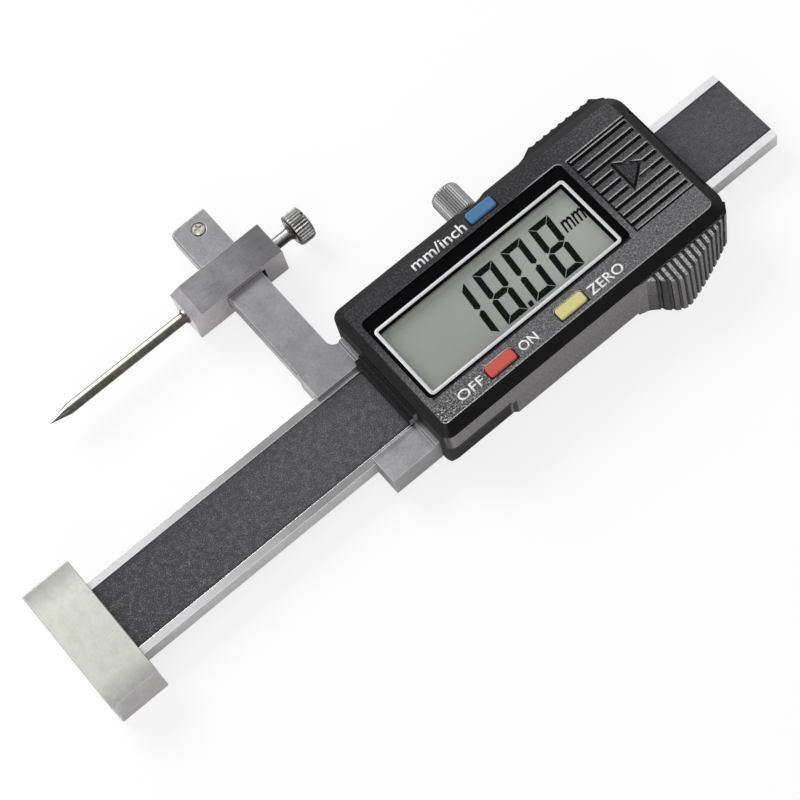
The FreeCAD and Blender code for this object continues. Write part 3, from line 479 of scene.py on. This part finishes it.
def film_material():
    """Dark printed film: soft blotches, a fine grain and a few pale flecks, darker along its edges."""
    p = Paint("scale_film_print")
    x, y, _ = p.xyz(p.where)
    speck = p.noise(4.8, 2.0, 0.55)
    both = p.weighted(speck, 0.7, p.noise(0.9, 4.0, 0.62), 0.3)
    near = p.ramp(both, (0.41, (0.005, 0.005, 0.006)), (0.50, (0.025, 0.025, 0.028)),
                  (0.56, (0.052, 0.052, 0.056)), (0.65, (0.20, 0.20, 0.21)))
    middle = p.ramp(both, (0.40, (0.020, 0.020, 0.022)), (0.50, (0.056, 0.056, 0.061)),
                    (0.57, (0.092, 0.091, 0.097)), (0.67, (0.22, 0.22, 0.23)))
    far = p.ramp(both, (0.38, (0.028, 0.028, 0.031)), (0.50, (0.068, 0.067, 0.073)),
                 (0.58, (0.094, 0.093, 0.100)), (0.70, (0.19, 0.19, 0.20)))
    colour = p.mix(p.rise(x, 8.0, 52.0), near, middle)
    colour = p.mix(p.rise(x, 66.0, 126.0), colour, far)
    half = box_mm("scale_film")[1][1]
    edge = p.larger(p.rise(y, 2.5, 6.1, 0.26), p.rise(p.size(y), half - 0.5, half - 0.25, 0.75))
    p.set("Base Color", p.mix(edge, colour, (0.006, 0.006, 0.007)))
    p.set("Specular IOR Level", 0.3)
    p.set("Roughness", p.spread(speck, 0.3, 0.7, 0.62, 0.5))
    p.bump(both, 0.4, 0.02)
    return p.material


def display_material():
    """Grey-green display glass, with painted light making it a little lighter toward its far end."""
    p = Paint("display_glass")
    cloud = p.noise(0.06, 2.0, 0.5)
    near = p.ramp(cloud, (0.3, (0.315, 0.330, 0.302)), (0.7, (0.345, 0.357, 0.335)))
    far = p.ramp(cloud, (0.3, (0.385, 0.395, 0.370)), (0.7, (0.420, 0.428, 0.410)))
    p.set("Base Color", p.mix(p.rise(p.xyz(p.where)[0], 92.0, 112.0), near, far))
    p.set("Roughness", p.spread(p.noise(9.0, 2.0, 0.5), 0.3, 0.7, 0.34, 0.26))
    p.set("Specular IOR Level", 0.3)
    return p.material


def give(material, *names):
    """The material on every slot of some CAD nodes."""
    for name in names:
        o = nodes[name]
        if not o.data.materials:
            o.data.materials.append(material)
        for slot in o.material_slots:
            slot.material = material


def dress_large_steel():
    """Base, beam, frame and carrier block, ground or brushed along their own directions."""
    # Painted light: each sides pair makes the faces turned from +Z lighter than the front, and each last
    # colour is a painted edge highlight.
    give(steel("base_ground", (0.29, 0.29, 0.27), (0.46, 0.465, 0.44), 0.36, streak=7.0,
               stretch=(1.6, 0.10, 1.6), relief=0.006, edge=0.10, patch=0.5, grit=0.25,
               fade=(dict(axis="Y", low=8.0, high=11.8,
                          dark=(0.185, 0.183, 0.175), light=(0.30, 0.297, 0.285)),),
               sides=((0.46, 0.445, 0.445), (0.66, 0.64, 0.645)), edge_highlight=(0.70, 0.70, 0.69)),
         "base_block")
    give(steel("beam_ground", (0.38, 0.37, 0.38), (0.60, 0.59, 0.60), 0.28, streak=7.0,
               stretch=(0.06, 1.6, 1.6), edge=0.08, patch=0.3, grit=0.15,
               # Painted reflection: a darker band from X 20 to 90 for the housing mirrored in the beam;
               # painted light: lighter from X 120 on.
               fade=(dict(axis="X", low=20.0, high=46.0, until=(60.0, 90.0),
                          dark=(0.16, 0.155, 0.16), light=(0.31, 0.305, 0.31)),
                     dict(axis="X", low=120.0, high=130.0,
                          dark=(0.62, 0.61, 0.62), light=(0.86, 0.85, 0.87))),
               sides=((0.64, 0.63, 0.64), (0.84, 0.83, 0.84)), edge_highlight=(0.84, 0.84, 0.84)),
         "beam")
    give(steel("frame_satin", (0.120, 0.120, 0.125), (0.235, 0.232, 0.240), 0.42, streak=5.0,
               stretch=(1.0, 0.25, 1.0), relief=0.010, edge=0.10, patch=0.3, grit=0.2,
               fade=(dict(axis="Y", low=8.0, high=8.3, until=(-8.0, -6.0),
                          dark=(0.145, 0.144, 0.150), light=(0.330, 0.325, 0.335)),),
               sides=((0.36, 0.355, 0.36), (0.52, 0.51, 0.52)), edge_highlight=(0.55, 0.55, 0.56)),
         "slider_frame")
    give(steel("block_brushed", (0.084, 0.082, 0.086), (0.195, 0.191, 0.197), 0.38,
               stretch=(0.08, 1.5, 1.5), relief=0.006, edge=0.10, patch=0.3, grit=0.2,
               fade=(dict(axis="X", low=61.0, high=67.0,
                          dark=(0.064, 0.062, 0.066), light=(0.128, 0.125, 0.131)),),
               sides=((0.56, 0.53, 0.54), (0.78, 0.745, 0.755)), edge_highlight=(0.36, 0.35, 0.355)),
         "carrier_block")


def dress_small_metal():
    """Needle, screws, pads, gib, contacts, cell and switches."""
    # The needle's dark sides and bright top are a painted reflection.
    give(steel("needle_polished", (0.44, 0.425, 0.385), (0.66, 0.64, 0.59), 0.20, stretch=(0.2, 1.5, 1.5),
               relief=0.002, edge=0.05, patch=0.5, sides=((0.050, 0.047, 0.040), (0.13, 0.122, 0.105)),
               turn_at=(0.885, 0.955), lean=math.radians(12)),
         "needle")
    # The last colour of each knob is painted shade between its ribs.
    give(knob_steel("thumb_plated", "carrier_screw", "X", 0.27,
                    (0.30, 0.295, 0.29), (0.60, 0.595, 0.59), (0.060, 0.058, 0.058)),
         "carrier_screw")
    give(knob_steel("lock_plated", "lock_screw", "Y", 0.2,
                    (0.25, 0.247, 0.248), (0.37, 0.363, 0.365), (0.165, 0.161, 0.162)),
         "lock_screw")
    give(steel("screw_plated", (0.20, 0.19, 0.165), (0.66, 0.64, 0.58), 0.24, streak=2.5, edge=0.06,
               patch=1.2),
         "beam_stop_screw", "arm_stop_screw")
    give(steel("screw_black", (0.05, 0.05, 0.052), (0.09, 0.09, 0.092), 0.38, edge=0.06),
         "base_screws", "gib_screws", "housing_screws")
    give(steel("pad_brass", (0.55, 0.40, 0.16), (0.72, 0.55, 0.25), 0.28, edge=0.06),
         "carrier_pad", "lock_pad")
    give(steel("gib_bronze", (0.42, 0.28, 0.13), (0.55, 0.38, 0.20), 0.36, stretch=(0.1, 1.5, 1.5),
               edge=0.05),
         "gib_strip")
    give(steel("contact_nickel", (0.58, 0.55, 0.47), (0.72, 0.69, 0.60), 0.25, stretch=(0.2, 1.5, 1.5),
               relief=0.003, edge=0.04),
         "battery_contact_low", "battery_contact_side")
    give(steel("cell_steel", (0.60, 0.61, 0.62), (0.74, 0.75, 0.76), 0.22, streak=5.0, relief=0.003,
               edge=0.08),
         "battery")
    give(steel("switch_metal", (0.52, 0.52, 0.52), (0.66, 0.66, 0.66), 0.30, relief=0.003, edge=0.05),
         "tact_switches")


def dress_plastic():
    """Housing, caps, boards, display, window and film."""
    give(HousingPaint().material, "front_housing", "rear_housing", "battery_cover")
    for node, name, dark, light in (
        ("button_units", "cap_blue", (0.038, 0.130, 0.280), (0.052, 0.165, 0.345)),
        ("button_power", "cap_red", (0.480, 0.058, 0.040), (0.560, 0.075, 0.055)),
        ("button_zero", "cap_yellow", (0.560, 0.520, 0.200), (0.640, 0.600, 0.250)),
    ):
        give(plastic(name, dark, light, 0.45, grain=4.0, edge=0.18), node)
    give(plastic("board_mask", (0.012, 0.085, 0.030), (0.02, 0.12, 0.045), 0.35, grain=3.0, relief=0.01),
         "main_board", "sensor_board", "scale_board")
    give(plastic("connector_rubber", (0.50, 0.47, 0.45), (0.62, 0.59, 0.56), 0.6),
         "zebra_strips")
    give(plastic("chip_resin", (0.008, 0.008, 0.008), (0.016, 0.016, 0.016), 0.25, grain=2.0, relief=0.03),
         "controller_chip")
    give(lens_material(), "window_lens")
    give(film_material(), "scale_film")
    give(display_material(), "lcd_panel")


dress_large_steel()
dress_small_metal()
dress_plastic()


# Printed pieces
def mesh_piece(name, build, material, body):
    """A new mesh object that rides on a body, built by a function that fills a bmesh in millimetres."""
    bm = bmesh.new()
    build(bm)
    bmesh.ops.recalc_face_normals(bm, faces=bm.faces)
    bm.transform(Matrix.Scale(MM, 4))
    data = bpy.data.meshes.new(name)
    bm.to_mesh(data)
    bm.free()
    o = bpy.data.objects.new(name, data)
    bpy.context.scene.collection.objects.link(o)
    data.materials.append(material)
    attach(o, body)


def plate(bm, points, z0, z1):
    """A thin upright plate over an outline of (x, y) points."""
    low = [bm.verts.new((x, y, z0)) for x, y in points]
    high = [bm.verts.new((x, y, z1)) for x, y in points]
    bm.faces.new(high)
    bm.faces.new(low[::-1])
    n = len(points)
    for i in range(n):
        j = (i + 1) % n
        bm.faces.new((low[i], low[j], high[j], high[i]))


def rounded(x0, x1, y0, y1, r, steps=6):
    """Corner points of a rounded rectangle."""
    corners = ((x1 - r, y1 - r, 0), (x0 + r, y1 - r, 90), (x0 + r, y0 + r, 180), (x1 - r, y0 + r, 270))
    out = []
    for cx, cy, start in corners:
        for i in range(steps + 1):
            a = math.radians(start + 90 * i / steps)
            out.append((cx + r * math.cos(a), cy + r * math.sin(a)))
    return out


def ring(bm, outer, inner, z0, z1, crown=0.0):
    """A flat frame between two outlines with the same number of points, crowned in its middle."""
    n = len(outer)
    middle = [((a[0] + b[0]) / 2, (a[1] + b[1]) / 2) for a, b in zip(outer, inner)]
    rows = [[bm.verts.new((x, y, z)) for x, y in line]
            for line, z in ((outer, z0), (outer, z1), (middle, z1 + crown), (inner, z1), (inner, z0))]
    for a, b in zip(rows, rows[1:]):
        for i in range(n):
            j = (i + 1) % n
            bm.faces.new((a[i], a[j], b[j], b[i]))


def window_line(bm):
    ring(bm, rounded(*LINE_OUTER, LINE_OUTER_R), rounded(*LINE_INNER, LINE_INNER_R),
         LENS_TOP, LENS_TOP + INK, LINE_CROWN)


# Display figures: slanted seven-segment digits, in millimetres
FIGURES = "1808"
SEGMENTS = {"0": "abcdef", "1": "bc", "8": "abcdefg"}
DIGIT_H = 11.0
DIGIT_W = 4.3
STROKE = 1.14
GAP = 0.075             # half the gap between two segments
SLANT = 0.113           # shift to the right per millimetre of height
DIGIT_X = 88.72         # left end of the second digit
DIGIT_Y = -6.08         # foot of the digits
PITCH = 6.1
POINT_GAP = 0.42        # from the second digit to the point
POINT_DROP = 0.02
POINT_W = 0.85
POINT_H = 1.0
POINT_LEAN = 0.12


def segment(letter):
    """Outline of one segment of an upright digit whose lower left corner is the origin."""
    w, h, s, g = DIGIT_W, DIGIT_H, STROKE, GAP
    mid = h * 0.485
    half = s * 0.5
    if letter == "a":
        return [(g, h), (w - g, h), (w - s - g, h - s), (s + g, h - s)]
    if letter == "d":
        return [(g, 0), (s + g, s), (w - s - g, s), (w - g, 0)]
    if letter == "g":
        return [(half * 0.8 + g, mid), (s * 1.05 + g, mid + half), (w - s * 1.05 - g, mid + half),
                (w - half * 0.8 - g, mid), (w - s * 1.05 - g, mid - half), (s * 1.05 + g, mid - half)]
    if letter in "bc":
        left = segment({"b": "f", "c": "e"}[letter])
        return [(w - x, y) for x, y in left][::-1]
    if letter == "f":
        return [(0, h - g), (s, h - s - g), (s, mid + half + g),
                (s * 0.42, mid + g * 1.6), (0, mid + s * 0.45)]
    return [(0, g), (0, mid - s * 0.45), (s * 0.42, mid - g * 1.6), (s, mid - half - g), (s, s + g)]


def digits(bm):
    """The four figures, with the point after the second."""
    for i, figure in enumerate(FIGURES):
        left = DIGIT_X + (i - 1) * PITCH
        for letter in SEGMENTS[figure]:
            points = [(left + x + y * SLANT, DIGIT_Y + y) for x, y in segment(letter)]
            plate(bm, points, DISPLAY_TOP, DISPLAY_TOP + INK)
    x, y = DIGIT_X + DIGIT_W + POINT_GAP, DIGIT_Y - POINT_DROP
    point = [(x, y), (x + POINT_W, y), (x + POINT_W + POINT_LEAN, y + POINT_H), (x + POINT_LEAN, y + POINT_H)]
    plate(bm, point, DISPLAY_TOP, DISPLAY_TOP + INK)


def word(name, text, left, base, width, height, z, material, slot, shear=0.0, weight=0.01):
    """A printed word: its left end, base line, width and the height of its capitals or stems."""
    curve = bpy.data.curves.new(name, "FONT")
    curve.body = text
    curve.resolution_u = 4
    curve.offset = weight
    made = bpy.data.objects.new(name + "_text", curve)
    bpy.context.scene.collection.objects.link(made)
    bpy.context.view_layer.update()
    data = bpy.data.meshes.new_from_object(made)
    bpy.data.objects.remove(made)
    xs = [v.co.x for v in data.vertices]
    wide = width / (max(xs) - min(xs))
    tall = height / max(v.co.y for v in data.vertices)
    for v in data.vertices:
        x = (v.co.x - min(xs)) * wide
        y = v.co.y * tall
        v.co = Vector((left + x + y * shear, base + y, z)) * MM
    data.name = name
    o = bpy.data.objects.new(name, data)
    bpy.context.scene.collection.objects.link(o)
    solid = o.modifiers.new("thickness", "SOLIDIFY")
    solid.thickness = INK * MM
    solid.offset = 1
    depsgraph = bpy.context.evaluated_depsgraph_get()
    final = bpy.data.meshes.new_from_object(o.evaluated_get(depsgraph))
    o.modifiers.clear()
    o.data = final
    final.materials.clear()
    final.materials.append(material)
    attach(o, "slider")


# Words on the face and on the display: name, text, left end, base line, width and height in millimetres
LABELS = (
    ("label_units", "mm/inch", 83.3, 11.1, 11.3, 2.0),
    ("label_off", "OFF", 73.95, -12.05, 5.2, 1.75),
    ("label_on", "ON", 86.95, -12.05, 3.6, 1.75),
    ("label_zero", "ZERO", 101.75, -12.15, 7.15, 1.8),
)
UNIT = ("display_unit", "mm", 106.7, 0.1, 4.35, 2.3)

silver_ink = steel("line_silver", (0.48, 0.48, 0.49), (0.62, 0.62, 0.63), 0.42, streak=4.0, edge=0.0,
                   metallic=0.35)
white_ink = plastic("label_white", (0.80, 0.80, 0.80), (0.90, 0.90, 0.90), 0.5, relief=0.01, edge=0.0)
digit_ink = plastic("digit_black", (0.004, 0.005, 0.005), (0.008, 0.009, 0.009), 0.6, grain=3.0,
                    relief=0.004, edge=0.0, specular=0.02)

mesh_piece("window_line", window_line, silver_ink, "slider")
mesh_piece("display_digits", digits, digit_ink, "slider")
for label in LABELS:
    word(*label, FACE, white_ink, "housing_plastic")
word(*UNIT, DISPLAY_TOP, digit_ink, "display", shear=0.15, weight=0.015)


# Floor, light and camera
FLOOR_HALF = 2.5        # half the floor's size, in metres
FLOOR_GAP = 0.00002     # the gauge lies this little above it, in metres
TOUCH_X = 128.5         # where the back of the housing meets the floor, in millimetres


def floor_material():
    """Pale floor that the camera sees nearly white, with the shadow kept."""
    p = Paint("floor_pale")
    p.set("Base Color", (0.93, 0.93, 0.93))
    p.set("Roughness", 0.7)
    p.set("Specular IOR Level", 0.2)
    white = p.node("ShaderNodeEmission")
    p.feed(white.inputs["Color"], (1, 1, 1))
    p.feed(white.inputs["Strength"], 1.0)
    share = p.times(p.node("ShaderNodeLightPath").outputs["Is Camera Ray"], 0.8)
    surface = p.mix_shader(share, p.shader.outputs[0], white.outputs[0])
    p.feed(p.tree.nodes["Material Output"].inputs["Surface"], surface)
    return p.material


def add_floor():
    """A plane under the gauge, which lies on the base's back and on the housing's far end."""
    (_, _, base_z), (base_x, _, _) = box_mm("base_block")
    slope = (box_mm("rear_housing")[0][2] - base_z) / (TOUCH_X - base_x)
    bm = bmesh.new()
    corners = []
    for side_x, side_y in ((-1, -1), (1, -1), (1, 1), (-1, 1)):
        x = side_x * FLOOR_HALF
        z = base_z * MM + slope * (x - base_x * MM) - FLOOR_GAP
        corners.append(bm.verts.new((x, side_y * FLOOR_HALF, z)))
    bm.faces.new(corners)
    data = bpy.data.meshes.new("floor")
    bm.to_mesh(data)
    bm.free()
    data.materials.append(floor_material())
    floor = bpy.data.objects.new("floor", data)
    bpy.context.scene.collection.objects.link(floor)


def add_world():
    """Soft light from all sides; the camera, gloss and glass see white."""
    world = bpy.data.worlds.new("studio")
    bpy.context.scene.world = world
    world.use_nodes = True
    w = Tree(world.node_tree)
    w.tree.nodes.clear()
    rays = w.node("ShaderNodeLightPath").outputs
    light, seen = w.node("ShaderNodeBackground"), w.node("ShaderNodeBackground")
    for background, strength in ((light, 0.5), (seen, 1.0)):
        w.feed(background.inputs["Color"], (1, 1, 1))
        w.feed(background.inputs["Strength"], strength)
    looks = w.larger(w.larger(rays["Is Camera Ray"], rays["Is Glossy Ray"]), rays["Is Transmission Ray"])
    surface = w.mix_shader(looks, light.outputs[0], seen.outputs[0])
    w.feed(w.node("ShaderNodeOutputWorld").inputs["Surface"], surface)


def lamp(name, place, target, size, power):
    """A square area light that faces a target."""
    data = bpy.data.lights.new(name, "AREA")
    data.size = size
    data.energy = power
    o = bpy.data.objects.new(name, data)
    bpy.context.scene.collection.objects.link(o)
    o.location = place
    o.rotation_euler = (Vector(target) - Vector(place)).to_track_quat("-Z", "Y").to_euler()


# The camera, fitted to the outlines of base, beam, arm and housing in the photograph's 800 pixel frame
FRAME_PIXELS = 800.0
FOCAL_PIXELS = 2459.846
SENSOR = 36.0
CAMERA_PLACE = (0.007095, -0.153367, 0.371127)
CAMERA_RIGHT = (0.765712, -0.629637, -0.131308)
CAMERA_BACK = (-0.150145, -0.373496, 0.915400)


def add_camera():
    """The camera that sees the gauge as the photograph does."""
    data = bpy.data.cameras.new("camera")
    data.sensor_fit = "HORIZONTAL"
    data.sensor_width = SENSOR
    data.lens = FOCAL_PIXELS * SENSOR / FRAME_PIXELS
    data.clip_start = 0.01
    o = bpy.data.objects.new("camera", data)
    bpy.context.scene.collection.objects.link(o)
    right = Vector(CAMERA_RIGHT).normalized()
    back = Vector(CAMERA_BACK).normalized()
    upward = back.cross(right).normalized()
    right = upward.cross(back).normalized()
    turn = Matrix((right, upward, back)).transposed()
    o.matrix_world = Matrix.Translation(CAMERA_PLACE) @ turn.to_4x4()
    bpy.context.scene.camera = o


add_floor()
add_world()
LIT_PLACE = (0.07, 0.01, 0.0)
lamp("key", (-0.08, 0.62, 0.50), LIT_PLACE, size=0.45, power=5.0)
lamp("side", (-0.50, -0.45, 0.40), LIT_PLACE, size=0.5, power=1.6)
add_camera()
bpy.context.scene.view_settings.view_transform = "Standard"
